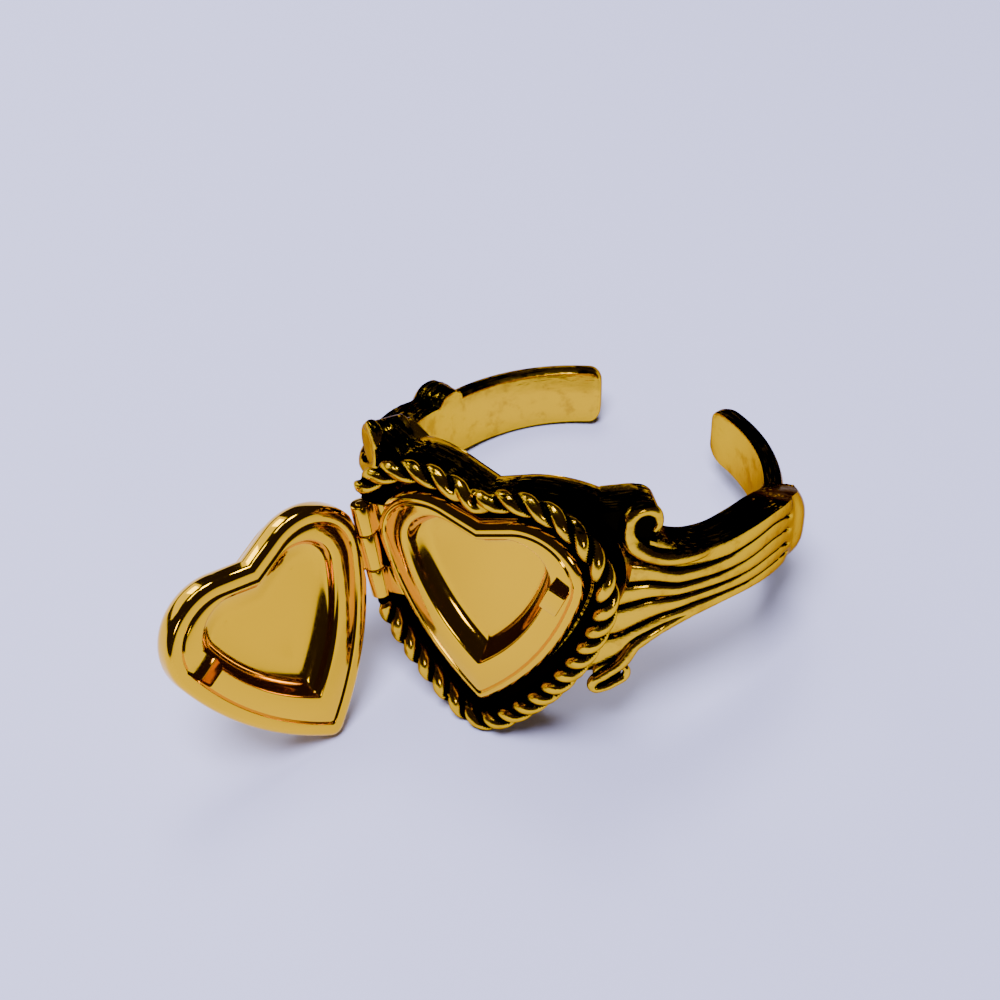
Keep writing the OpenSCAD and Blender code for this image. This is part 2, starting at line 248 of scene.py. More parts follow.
locketSize = {
    "rimOut": 0.27,      # how far the tray's rim stands out past the heart
    "rimRadius": 0.45,
    "lidOut": 0.14,      # how far the lid's rim stands out past the tray's
    "lidFullness": 0.6,  # below 1 the lid's rim is squarer than the tray's
    "trayDepth": 1.35,
    "lidHeight": 1.86,
    "lidGap": 0.05,
    "openAngle": 111.5,
    # The tray's back edge: distance in from the outside, distance up from the back
    "trayBack": [(0.12, 0), (0.03, 0.03), (0, 0.12)],
    # The fine line inside the rim: distance in from the crest and depth
    "trayLine": [(0.03, 0.012), (0.06, 0.06), (0.085, 0.085), (0.115, 0.06), (0.145, 0.012), (0.18, 0)],
    "lidLine": [(0.16, 0), (0.19, 0.012), (0.22, 0.06), (0.25, 0.085), (0.28, 0.06), (0.31, 0.012),
                (0.34, 0)],
    # The hollow, from its edge down to its floor: distance in from the edge and depth
    "hollowEdge": 0.75,  # share of the heart
    "trayHollow": [(0, 0), (0.04, 0.006), (0.08, 0.026), (0.12, 0.065), (0.155, 0.12), (0.19, 0.19),
                   (0.24, 0.3), (0.3, 0.42), (0.36, 0.53), (0.42, 0.62), (0.48, 0.69), (0.54, 0.745),
                   (0.6, 0.79), (0.66, 0.82), (0.72, 0.84), (0.79, 0.852), (0.9, 0.858), (1.1, 0.86)],
    "lidHollow": [(0, 0), (0.04, 0.006), (0.08, 0.026), (0.115, 0.06), (0.145, 0.105), (0.175, 0.165),
                  (0.21, 0.25), (0.25, 0.36), (0.3, 0.46), (0.37, 0.55), (0.46, 0.62), (0.58, 0.685),
                  (0.72, 0.74), (0.88, 0.785), (1.06, 0.82), (1.26, 0.845), (1.5, 0.86), (1.75, 0.865)],
    # The lid's back: share of the heart, growth as a share of the rim's, share of the height
    "dome": [(1, 1, 0.36), (1, 0.93, 0.43), (1, 0.72, 0.52), (1, 0.35, 0.61), (1, -0.2, 0.7),
             (0.97, -0.5, 0.76), (0.92, -0.3, 0.82), (0.86, 0, 0.87), (0.78, 0, 0.915), (0.66, 0, 0.955),
             (0.5, 0, 0.985), (0.3, 0, 1.0), (0.1, 0, 1.005)],
}
hingeSize = {
    "lean": 10,
    "length": 4.7,
    "lidShare": 0.37,
    "knuckleRadius": 0.45,
    "pinRadius": 0.2,
    "gap": 0.05,
    "out": 0.6,      # from the heart's side to the pin
    "depth": -0.05,  # below the tray's face
    "drop": 0.65,    # below the lobe's centre
    "strap": 0.32,
    "trayStrapInto": 0.5,  # how far the straps run on past the heart's side
    "lidStrapInto": 0.3,
    "lidStrapBevel": 0.04,
    "sunk": 0.03,  # the straps lie this far inside the knuckles
    "bevel": 0.03,
    "roomBevel": 0.01,
    "pinProud": 0.02,  # how far the pin stands out at each end
}
catchSize = {
    "width": 1.2,
    "thickness": 0.86,
    "height": 0.45,
    "root": 0.3,
    "bevel": 0.07,
    "angle": -22,
    "inward": 0.85,
    "gap": 0.15,
    "slotDepth": 0.8,
    "slotBevel": 0.12,
}


def hingePlace():
    lobe = heartSize["width"] / 4
    lean = math.radians(hingeSize["lean"])
    reach = lobe + hingeSize["out"]
    x = -lobe - reach * math.cos(lean) + hingeSize["drop"] * math.sin(lean)
    y = -reach * math.sin(lean) - hingeSize["drop"] * math.cos(lean)
    return Matrix.Translation(onHead((x, y), hingeSize["depth"])) @ Matrix.Rotation(-lean, 4, "Y")


def catchPlace():
    lobe = heartSize["width"] / 4
    angle = math.radians(catchSize["angle"])
    reach = lobe - catchSize["inward"]
    place = (lobe + reach * math.cos(angle), reach * math.sin(angle))
    return Matrix.Translation(onHead(place, 0)) @ Matrix.Rotation(-angle, 4, "Y")


def rimRows(fullness=1.0, steps=9):
    # The rounded rim from its outside to its crest: growth and depth, squarer where the fullness is below 1
    out, radius = locketSize["rimOut"], locketSize["rimRadius"]
    turns = [math.radians(90 * i / steps) for i in range(steps + 1)]
    return [(out - radius * (1 - max(0.0, math.cos(t)) ** fullness),
             radius * (1 - math.sin(t) ** fullness)) for t in turns]


def heartSections(rows):
    return [[onHead(p, depth) for p in heartOutline(grow, share)] for share, grow, depth in rows]


def hollowRows(table, face, into):
    # From the ledge over the hollow's edge to its floor, which is nearly flat
    edge = locketSize["hollowEdge"]
    rows = [(edge, -inward / edge, face + into * depth) for inward, depth in locketSize[table]]
    floor = rows[-1][2]
    return rows + [(share, 0, floor) for share in (0.2, 0.02)]


def makeTray():
    out, radius = locketSize["rimOut"], locketSize["rimRadius"]
    deep = locketSize["trayDepth"]
    rows = [(1, out - inward, deep - up) for inward, up in locketSize["trayBack"]]
    rows += [(1, grow, depth) for grow, depth in rimRows()]
    rows += [(1, out - radius - inward, depth) for inward, depth in locketSize["trayLine"]]
    rows += hollowRows("trayHollow", 0, 1)
    tray = loftSections("tray", heartSections(rows))
    hinge = hingePlace()
    length, knuckle = hingeSize["length"], hingeSize["knuckleRadius"]
    middle = length * hingeSize["lidShare"]
    outer = (length - middle) / 2 - hingeSize["gap"]
    gap, bevel = hingeSize["gap"], hingeSize["bevel"]
    cutAway(tray, addRod("knuckle room", knuckle + gap, middle + 2 * gap, hinge, hingeSize["roomBevel"]))
    pieces = [tray]
    under = knuckle - hingeSize["sunk"]
    for end in (-1, 1):
        shift = Matrix.Translation((0, 0, end * (length - outer) / 2 * mm))
        pieces.append(addRod("outer knuckle", knuckle, outer, hinge @ shift))
        low = (0, under - hingeSize["strap"], -outer / 2)
        high = (hingeSize["out"] + hingeSize["trayStrapInto"], under, outer / 2)
        pieces.append(addBlock("strap", low, high, hinge @ shift, bevel))
    half, thick = catchSize["width"] / 2, catchSize["thickness"] / 2
    low, high = (-thick, -catchSize["height"], -half), (thick, catchSize["root"], half)
    pieces.append(addBlock("catch", low, high, catchPlace(), catchSize["bevel"]))
    return joined("locketTray", pieces)


def makeLid():
    face = -locketSize["lidGap"]
    extra = locketSize["lidOut"]
    crest = locketSize["rimOut"] - locketSize["rimRadius"] + extra
    rows = hollowRows("lidHollow", face, -1)[::-1]
    rows += [(1, crest - inward, face - depth) for inward, depth in reversed(locketSize["lidLine"])]
    rim = rimRows(locketSize["lidFullness"])
    rows += [(1, grow + extra, face - depth) for grow, depth in reversed(rim)]
    rows += [(share, grow * locketSize["rimOut"] + extra, face - height * locketSize["lidHeight"])
             for share, grow, height in locketSize["dome"]]
    lid = loftSections("lid", heartSections(rows))
    hinge = hingePlace()
    length, knuckle = hingeSize["length"], hingeSize["knuckleRadius"]
    middle = length * hingeSize["lidShare"]
    free = 2 * hingeSize["gap"]
    cutAway(lid, addRod("hinge room", knuckle + free, length + 2 * free, hinge, hingeSize["roomBevel"]))
    gap = catchSize["gap"]
    half, thick = catchSize["width"] / 2 + gap, catchSize["thickness"] / 2 + gap
    low, high = (-thick, -catchSize["slotDepth"], -half), (thick, catchSize["root"], half)
    cutAway(lid, addBlock("slot", low, high, catchPlace(), catchSize["slotBevel"]))
    pieces = [lid, addRod("middle knuckle", knuckle, middle, hinge)]
    front = hingeSize["depth"] + locketSize["lidGap"] + hingeSize["sunk"]
    low = (-knuckle / 2, -front - hingeSize["strap"], -middle / 2)
    high = (hingeSize["out"] + hingeSize["lidStrapInto"], -front, middle / 2)
    pieces.append(addBlock("strap", low, high, hinge, hingeSize["lidStrapBevel"]))
    swing = hinge @ Matrix.Rotation(-math.radians(locketSize["openAngle"]), 4, "Z") @ hinge.inverted()
    return joined("locketLid", pieces, turn=swing)


def makePin():
    length = hingeSize["length"] + 2 * hingeSize["pinProud"]
    pin = addRod("pin", hingeSize["pinRadius"], length, hingePlace(), hingeSize["bevel"])
    return joined("hingePin", [pin])


headSize = {
    "margin": 1.25,
    # The seat for the tray and the edge round it: share of the heart, growth and depth
    "seat": [(0.02, 0.33, 0.9), (1, 0.33, 0.9), (1, 0.72, 0.9), (1, 0.82, 0.84), (1, 0.86, 0.74),
             (1, 0.9, 0.4), (1, 0.98, 0.31), (1, 1.15, 0.31), (1, 1.25, 0.4)],
    # The side wall from the edge to the back: part of the way, growth past the margin
    "wall": [(0.15, 0.02), (0.35, 0.06), (0.6, 0.08), (0.8, 0.06), (0.93, -0.04), (0.98, -0.14)],
    "backShares": (0.965, 0.9, 0.75, 0.55, 0.35, 0.15, 0.03),
}


def makeHead():
    margin, edgeDepth = headSize["margin"], headSize["seat"][-1][2]
    sections = heartSections(headSize["seat"])
    # The side wall swells a little and rounds over to the hollow for the finger
    for part, grow in headSize["wall"]:
        section = []
        for p in heartOutline(margin + grow):
            section.append(onHead(p, edgeDepth + (holeDepth(p[0]) - edgeDepth) * part))
        sections.append(section)
    for share in headSize["backShares"]:
        sections.append([onHead(p, holeDepth(p[0])) for p in heartOutline(margin, share)])
    return loftSections("head", sections)


ropeSize = {
    "out": 1.31,     # from the heart to the rope's middle
    "depth": 0.1,    # below the tray's face
    "radius": 0.49,
    "waist": 0.4,    # share of the radius that is lost between the two strands
    "seam": 0.37,    # nearer to the rope's middle than this the rope is black
    "pitch": 1.12,   # from strand to strand
    "sides": 28,
    "ringsPerTwist": 14,
    "endShare": 0.45,  # of the radius at the rope's two ends
    "endRings": 5,
    "hingeRoom": (0.3, 0.5),  # free lengths below and above the hinge
}


def ropeRoute():
    # Finds a point by its distance along the rope's middle, and where the hinge leaves room for the rope
    outline = heartOutline(ropeSize["out"])
    outline.append(outline[0])
    hinge = hingePlace().translation / mm
    below, above = ropeSize["hingeRoom"]
    low = hinge.z - heartSize["lobeHeight"] - hingeSize["length"] / 2 - below
    high = low + below + hingeSize["length"] + above
    marks = [0]
    for a, b in zip(outline, outline[1:]):
        marks.append(marks[-1] + math.dist(a, b))
    total = marks[-1]

    def pointAt(s):
        s = s % total
        k = max(i for i in range(len(marks) - 1) if marks[i] <= s)
        t = (s - marks[k]) / (marks[k + 1] - marks[k])
        return tuple(outline[k][i] + t * (outline[k + 1][i] - outline[k][i]) for i in (0, 1))

    # The heart's left side is the last part of the way round from the tip
    leftSide = [s for s in (total * (1 - i / 2000) for i in range(900)) if pointAt(s)[0] < -1]
    beside = [s for s in leftSide if low < pointAt(s)[1] < high]
    return pointAt, max(beside) - total, min(beside)


def makeRope():
    pointAt, start, end = ropeRoute()
    ringsPerTwist, sides = ropeSize["ringsPerTwist"], ropeSize["sides"]
    endShare = ropeSize["endShare"]
    count = round((end - start) / ropeSize["pitch"]) * ringsPerTwist
    sections = []
    for i in range(count + 1):
        s = start + (end - start) * i / count
        ahead = [b - a for a, b in zip(pointAt(s - 0.25), pointAt(s + 0.25))]
        size = math.hypot(*ahead)
        out = (ahead[1] / size, -ahead[0] / size)
        x, y = pointAt(s)
        twist = math.pi * i / ringsPerTwist
        # The rope tapers to its two soldered ends
        taper = min(1, endShare + (1 - endShare) * min(i, count - i) / ropeSize["endRings"])
        section = []
        for k in range(sides):
            a = 2 * math.pi * k / sides
            pinch = abs(math.sin(a - twist)) ** 4
            r = ropeSize["radius"] * taper * (1 - ropeSize["waist"] * pinch)
            place = (x + r * math.cos(a) * out[0], y + r * math.cos(a) * out[1])
            section.append(onHead(place, ropeSize["depth"] + r * math.sin(a)))
        sections.append(section)
    return loftSections("rope", sections)


# How the long edges are rounded: where the rounding starts and where its middle corner lies
edgeSize = {"inner": 0.15, "innerCorner": 0.04, "outer": 0.3, "outerCorner": (0.12, 0.03)}
shoulderSize = {
    "steps": 90,
    # Angle, top edge, bottom edge, distance of the ribs' backs from the axis
    "right": [(24, 5.0, -2.1, 9.95), (34, 5.3, -1.5, 10.1), (40, 5.5, -0.65, 10.2),
              (44, 5.05, -0.15, 10.2), (48, 4.5, 0.17, 10.2), (54, 4.15, 0.45, 10.18),
              (62, 3.97, 0.55, 10.15), (70, 3.95, 0.45, 10.15), (80, 3.8, 0.15, 10.15),
              (88, 3.4, -0.2, 10.15), (94, 2.95, -0.65, 10.2), (98, 2.65, -0.95, 10.42),
              (101, 2.4, -1.15, 10.46), (105, 2.05, -1.4, 10.4), (109, 1.75, -1.7, 10.25)],
    "left": [(24, 5.0, -2.1, 9.95), (34, 5.2, -1.5, 10.1), (40, 5.3, -0.65, 10.2),
             (44, 4.9, -0.1, 10.2), (48, 4.3, 0.05, 10.2), (54, 3.9, 0.1, 10.18),
             (62, 3.35, -0.05, 10.15), (70, 2.9, -0.3, 10.15), (80, 2.45, -0.8, 10.15),
             (88, 2.15, -1.15, 10.15), (94, 1.95, -1.4, 10.2), (98, 1.85, -1.5, 10.38),
             (101, 2.2, -1.6, 10.46), (106, 2.2, -1.65, 10.42), (109, 1.9, -1.7, 10.25)],
    # Angle, then where the grooves run as shares of the shoulder's width: the first groove's top and
    # bottom edge, the other three's middles; then half the width and the depth of those three
    "grooves": [(24, 0.97, 0.86, 0.67, 0.48, 0.25, 0.11, 0.36),
                (34, 0.95, 0.83, 0.655, 0.475, 0.25, 0.11, 0.36),
                (39, 0.84, 0.755, 0.6, 0.44, 0.235, 0.1, 0.34),
                (44, 0.79, 0.715, 0.565, 0.41, 0.225, 0.085, 0.3),
                (48, 0.79, 0.715, 0.55, 0.394, 0.22, 0.065, 0.26),
                (54, 0.775, 0.727, 0.54, 0.37, 0.205, 0.045, 0.19),
                (62, 0.755, 0.725, 0.515, 0.33, 0.166, 0.035, 0.14),
                (70, 0.775, 0.755, 0.514, 0.31, 0.14, 0.025, 0.11),
                (80, 0.82, 0.802, 0.57, 0.34, 0.16, 0.022, 0.1),
                (86, 0.8, 0.78, 0.56, 0.34, 0.165, 0.03, 0.13),
                (89.5, 0.78, 0.74, 0.55, 0.32, 0.17, 0.08, 0.26),
                (92, 0.77, 0.73, 0.54, 0.31, 0.17, 0.05, 0.0),
                (110, 0.77, 0.73, 0.54, 0.31, 0.17, 0.05, 0.0)],
    "firstGroove": 1.15,  # depth of the first groove as a share of the others'
    "ribRound": 0.1,
    # Where the points across a rib lie, as shares of its width
    "acrossRib": (0.04, 0.1, 0.2, 0.35, 0.5, 0.65, 0.8, 0.9, 0.96),
    "endBulge": 0.5,  # how much the shoulder's end rounds off to its top and bottom
    "bulgeFrom": 88,
    "bulgeOver": 11,
}


def endBulge(angle):
    share = min(1.0, max(0.0, (angle - shoulderSize["bulgeFrom"]) / shoulderSize["bulgeOver"]))
    return shoulderSize["endBulge"] * share * share * (3 - 2 * share)


def ribbedSide(angle, width, outer):
    # Points down the outer side of the shoulder: share of the width, distance from the axis
    row = [smoothTable(shoulderSize["grooves"], angle, column) for column in range(1, 8)]
    half, depth = row[5] / width, max(0.0, row[6])
    rounding = min(shoulderSize["ribRound"], 0.5 * depth)
    firstHalf = (row[0] - row[1]) / 2 + 0.2 * half
    grooves = [((row[0] + row[1]) / 2, firstHalf, depth * shoulderSize["firstGroove"])]
    grooves += [(row[k], half, depth) for k in (2, 3, 4)]
    points = []
    top = 1.0
    for middle, halfWidth, deep in grooves + [(0, 0, 0)]:
        bottom = middle + halfWidth
        for u in shoulderSize["acrossRib"]:
            points.append((top + (bottom - top) * u, outer - rounding * abs(2 * u - 1) ** 3))
        if halfWidth:
            points.append((middle + 0.35 * halfWidth, outer - deep))
            points.append((middle - 0.35 * halfWidth, outer - deep))
        top = middle - halfWidth
    bulge = endBulge(angle)
    return [(share, r - bulge * abs(2 * share - 1) ** 3) for share, r in points]


def makeShoulder(rows):
    # The ribbed shoulder, with soft edges
    hole = heartSize["holeRadius"]
    inner, corner = edgeSize["inner"], edgeSize["innerCorner"]
    chamfer, (inward, down) = edgeSize["outer"], edgeSize["outerCorner"]
    steps = shoulderSize["steps"]
    sections = []
    for i in range(steps + 1):
        angle = rows[0][0] + (rows[-1][0] - rows[0][0]) * i / steps
        top, bottom, outer = (smoothTable(rows, angle, column) for column in (1, 2, 3))
        edge = outer - endBulge(angle)
        width = top - bottom
        corners = [(hole, bottom + inner), (hole, (top + bottom) / 2), (hole, top - inner),
                   (hole + corner, top - corner), (hole + inner, top), ((hole + edge) / 2, top - corner),
                   (edge - chamfer, top), (edge - inward, top - down)]
        corners += [(r, bottom + share * width) for share, r in ribbedSide(angle, width, outer)]
        corners += [(edge - inward, bottom + down), (edge - chamfer, bottom), (hole + inner, bottom),
                    (hole + corner, bottom + corner)]
        sections.append([aroundHole(r, angle, z) for r, z in corners])
    return loftSections("shoulder", sections)


scrollSize = {
    # The bead that the top rib ends in, from its inner end: angle, height, distance from the axis, radius
    "volute": [(40.9, 5.85, 10.22, 0.12), (41.8, 6.1, 10.22, 0.18), (41.7, 6.5, 10.22, 0.22),
               (40.7, 6.83, 10.22, 0.27), (38.2, 7.04, 10.22, 0.31), (35.7, 6.82, 10.22, 0.33),
               (34.4, 6.22, 10.22, 0.35), (35.0, 5.5, 10.22, 0.37), (37.6, 4.95, 10.22, 0.38),
               (41.5, 4.5, 10.22, 0.38), (46, 4.22, 10.2, 0.38), (51, 3.98, 10.08, 0.34),
               (56, 3.82, 9.9, 0.28), (61, 3.72, 9.72, 0.2)],
    # The smaller one that the bottom rib ends in
    "lowCurl": [(34.4, -1.5, 10.22, 0.13), (35.6, -1.62, 10.22, 0.16), (35.7, -2.0, 10.22, 0.19),
                (33.2, -2.35, 10.22, 0.21), (30.2, -2.62, 10.22, 0.22), (27.9, -2.62, 10.22, 0.23),
                (27.7, -2.3, 10.22, 0.25), (30.4, -1.85, 10.22, 0.28), (34.8, -1.15, 10.22, 0.3),
                (38, -0.3, 10.14, 0.3), (42, 0.15, 10.1, 0.3), (47, 0.5, 10.02, 0.28),
                (53, 0.72, 9.92, 0.24)],
    # The scrolls behind the two beads: angle, height, radius, distance of their ends from the axis
    "rods": {
        "right": [(38.2, 6.1, 0.9, 10.14), (31.2, -1.95, 0.62, 10.14)],
        "left": [(38.2, 6.1, 1.05, 10.45), (31.2, -1.95, 0.62, 10.14)],
    },
    "rodLength": 1.8,
    "rodBevel": 0.12,
    # The sheet that runs from the top scroll back to the head: angle, middle, half its height
    "sheet": [(27, 6.25, 0.6), (29, 6.4, 0.6), (31.5, 6.5, 0.52), (34, 6.5, 0.54), (36.5, 6.36, 0.7),
              (38.5, 6.25, 0.78), (40.2, 6.2, 0.7), (41.2, 6.2, 0.45)],
    # Its section: distance from the axis, share of half its height
    "section": [(8.33, -1), (8.33, 0.9), (8.45, 1), (9.3, 0.97), (10.08, 1), (10.15, 0.9), (10.15, -1)],
}


def makeScrolls(rods):
    pieces = []
    for curl in ("volute", "lowCurl"):
        rows = scrollSize[curl]
        path = [aroundHole(away, angle, z) for angle, z, away, radius in rows]
        pieces.append(bead("curl", path, [row[3] for row in rows]))
    length = scrollSize["rodLength"]
    for angle, z, radius, away in rods:
        turn = Matrix.Rotation(math.radians(angle), 4, "Z") @ Matrix.Rotation(math.pi / 2, 4, "X")
        place = Matrix.Translation(aroundHole(away - length / 2, angle, z))
        pieces.append(addRod("scroll", radius, length, place @ turn, scrollSize["rodBevel"]))
    sections = []
    for angle, middle, half in scrollSize["sheet"]:
        corners = [(away, middle + share * half) for away, share in scrollSize["section"]]
        sections.append([aroundHole(away, angle, z) for away, z in corners])
    pieces.append(loftSections("scroll sheet", sections))
    return pieces


bandSize = {
    "thickness": 1.0,
    "width": 3.3,
    "narrowing": 0.1,  # share of the width that is lost on the way to the tip
    "crown": 0.02,
    # The rounding of its outside: distance in from the outside and from the edge
    "outside": [(0.3, 0), (0.12, 0.08), (0.02, 0.3)],
    "start": 103,
    "end": {"right": 157, "left": 161},
    "tip": {"right": 0.14, "left": 0.07},  # share of the band that its tip is rounded over
    "sections": 50,
    "tipShares": [0.95, 0.96, 0.97, 0.98, 0.988, 0.994, 0.998, 1.0],  # the last sections lie closer
}


def makeBand(side):
    # The open band, from under the shoulder's end to its rounded tip
    sections = []
    start, end, tip = bandSize["start"], bandSize["end"][side], bandSize["tip"][side]
    spacing = 1 / bandSize["sections"]
    evenShares = [i * spacing for i in range(bandSize["sections"] - 2)]
    hole, thick = heartSize["holeRadius"], bandSize["thickness"]
    inner, corner = edgeSize["inner"], edgeSize["innerCorner"]
    for share in evenShares + bandSize["tipShares"]:
        angle = start + (end - start) * share
        rounding = math.sqrt(max(0.0, 1 - max(0.0, (share - 1 + tip) / tip) ** 2))
        half = bandSize["width"] / 2 * (1 - bandSize["narrowing"] * share) * (0.5 + 0.5 * rounding)
        low, high = hole + (1 - rounding) / 4, hole + thick - (1 - rounding) / 4
        corners = [(low, inner - half), (low, 0), (low, half - inner), (low + corner, half - corner),
                   (low + inner, half)]
        corners += [(high - inward, half - down) for inward, down in bandSize["outside"]]
        corners.append((high + bandSize["crown"], 0))
        corners += [(high - inward, down - half) for inward, down in reversed(bandSize["outside"])]
        corners += [(low + inner, -half), (low + corner, corner - half)]
        sections.append([aroundHole(r, angle, z) for r, z in corners])
    return loftSections("band", sections)


def mirrored(pieces):
    for piece in pieces:
        pickOnly(piece)
        piece.data.transform(Matrix.Scale(-1, 4, (1, 0, 0)))
        bpy.ops.object.mode_set(mode="EDIT")
        bpy.ops.mesh.select_all(action="SELECT")
        bpy.ops.mesh.normals_make_consistent(inside=False)
        bpy.ops.object.mode_set(mode="OBJECT")
    return pieces


def makeSide(side):
    return [makeShoulder(shoulderSize[side])] + makeScrolls(scrollSize["rods"][side]) + [makeBand(side)]


def makeCasting():
    pieces = [makeHead(), makeRope()] + makeSide("right") + mirrored(makeSide("left"))
    return joined("ringCasting", pieces, smoothAngle=35)


# Where the black was never rubbed off. The bounds are: depth below the tray's face, distance from the
# heart's edge and from the rope's middle, angle round the finger hole and distance from its axis,
# height, and how far a face looks to the front
far = 20
blackPlaces = [
    # The groove round the locket
    {"depth": (0.33, 0.95), "fromHeart": (0.25, 0.96)},
    # The seams between the rope's strands
    {"fromRope": (0, ropeSize["seam"])},
    # The head's side wall
    {"angle": (0, 33), "depth": (0.62, 2.3), "away": (9.9, far), "facing": (0, 0.45)},
    # The front of the sheets behind the volutes, and the ends of the scrolls there
    {"angle": (0, 33.5), "depth": (0.9, far), "away": (10.03, far), "height": (5.6, far)},
    {"angle": (33.5, 42), "away": (10.08, 10.2), "height": (5.2, 7.0)},
]


def blackenHollows(casting, blackened):
    casting.data.materials.append(blackened)
    outline = heartOutline(0)
    rope = heartOutline(ropeSize["out"], detail=2)
    upright = layDown.inverted()
    for face in casting.data.polygons:
        place = upright @ face.center / mm
        onFace = (place.x, place.z - heartSize["lobeHeight"])
        depth = place.y + heartSize["faceDistance"]
        inFront = depth < blackPlaces[0]["depth"][1]
        toHeart = min(math.dist(onFace, p) for p in outline) if inFront else far
        toRope = min(math.dist(onFace, p) for p in rope) if inFront else far
        values = {
            "depth": depth,
            "fromHeart": toHeart,
            "fromRope": math.hypot(toRope, depth - ropeSize["depth"]),
            "angle": abs(math.degrees(math.atan2(place.x, -place.y))),
            "away": math.hypot(place.x, place.y),
            "height": place.z,
            "facing": abs((upright.to_3x3() @ face.normal).y),
        }
        for bounds in blackPlaces:
            if all(low <= values[name] < high for name, (low, high) in bounds.items()):
                face.material_index = 1


print("modelling the locket")
tray = makeTray()
lid = makeLid()
pin = makePin()
print("modelling the casting")
casting = makeCasting()


def linearColour(hexCode):
    parts = [int(hexCode[i:i + 2], 16) / 255 for i in (0, 2, 4)]
    return tuple(c / 12.92 if c <= 0.04045 else ((c + 0.055) / 1.055) ** 2.4 for c in parts) + (1.0,)


def addNode(tree, kind, settings=None, links=None):
    node = tree.nodes.new("ShaderNode" + kind)
    for key, value in (settings or {}).items():
        if isinstance(key, str) and hasattr(node, key):
            setattr(node, key, value)
        else:
            node.inputs[key].default_value = value
    for socket, source in (links or {}).items():
        tree.links.new(source, node.inputs[socket])
    return node


def newMaterial(name):
    material = bpy.data.materials.new(name)
    material.use_nodes = True
    tree = material.node_tree
    tree.nodes.clear()
    return material, tree


goldColours = {
    "polished": "EEB800",
    "cast": "E8B814",
    # black patina, also used as the painted dark reflection on the ring's sides
    "patinaAndDarkReflection": "060400",
    "edge": "A08654",  # what the black turns to where it is seen edge on
    "tarnish": "A06E1C",
}


def makePolishedGold():
    # Gold plate on stamped brass, buffed to a mirror: faint waves 3 mm long and hairlines, no grain
    material, tree = newMaterial("polishedGoldPlate")
    place = addNode(tree, "TexCoord").outputs["Object"]
    waves = addNode(tree, "TexNoise", {"Scale": 1 / (3.0 * mm), "Detail": 2.0}, {"Vector": place})
    hairs = addNode(tree, "TexNoise", {"Scale": 1 / (0.12 * mm), "Detail": 3.0}, {"Vector": place})
    rough = addNode(tree, "MapRange", {"From Min": 0.35, "From Max": 0.7, "To Min": 0.05, "To Max": 0.11},
                    {"Value": hairs.outputs["Fac"]})
    bump = addNode(tree, "Bump", {"Strength": 0.12, "Distance": 0.05 * mm},
                   {"Height": waves.outputs["Fac"]})
    shader = addNode(tree, "BsdfPrincipled",
                     {"Base Color": linearColour(goldColours["polished"]), "Metallic": 1.0},
                     {"Roughness": rough.outputs["Result"], "Normal": bump.outputs["Normal"]})
    addNode(tree, "OutputMaterial", {}, {"Surface": shader.outputs["BSDF"]})
    return material


def makeBlackenedGold():
    # The same plate where the black was never rubbed off
    material, tree = newMaterial("blackenedGoldPlate")
    shader = addNode(tree, "BsdfPrincipled",
                     {"Base Color": linearColour(goldColours["patinaAndDarkReflection"]), "Metallic": 1.0, "Roughness": 0.3,
                      "Specular Tint": linearColour(goldColours["edge"])})
    addNode(tree, "OutputMaterial", {}, {"Surface": shader.outputs["BSDF"]})
    return material


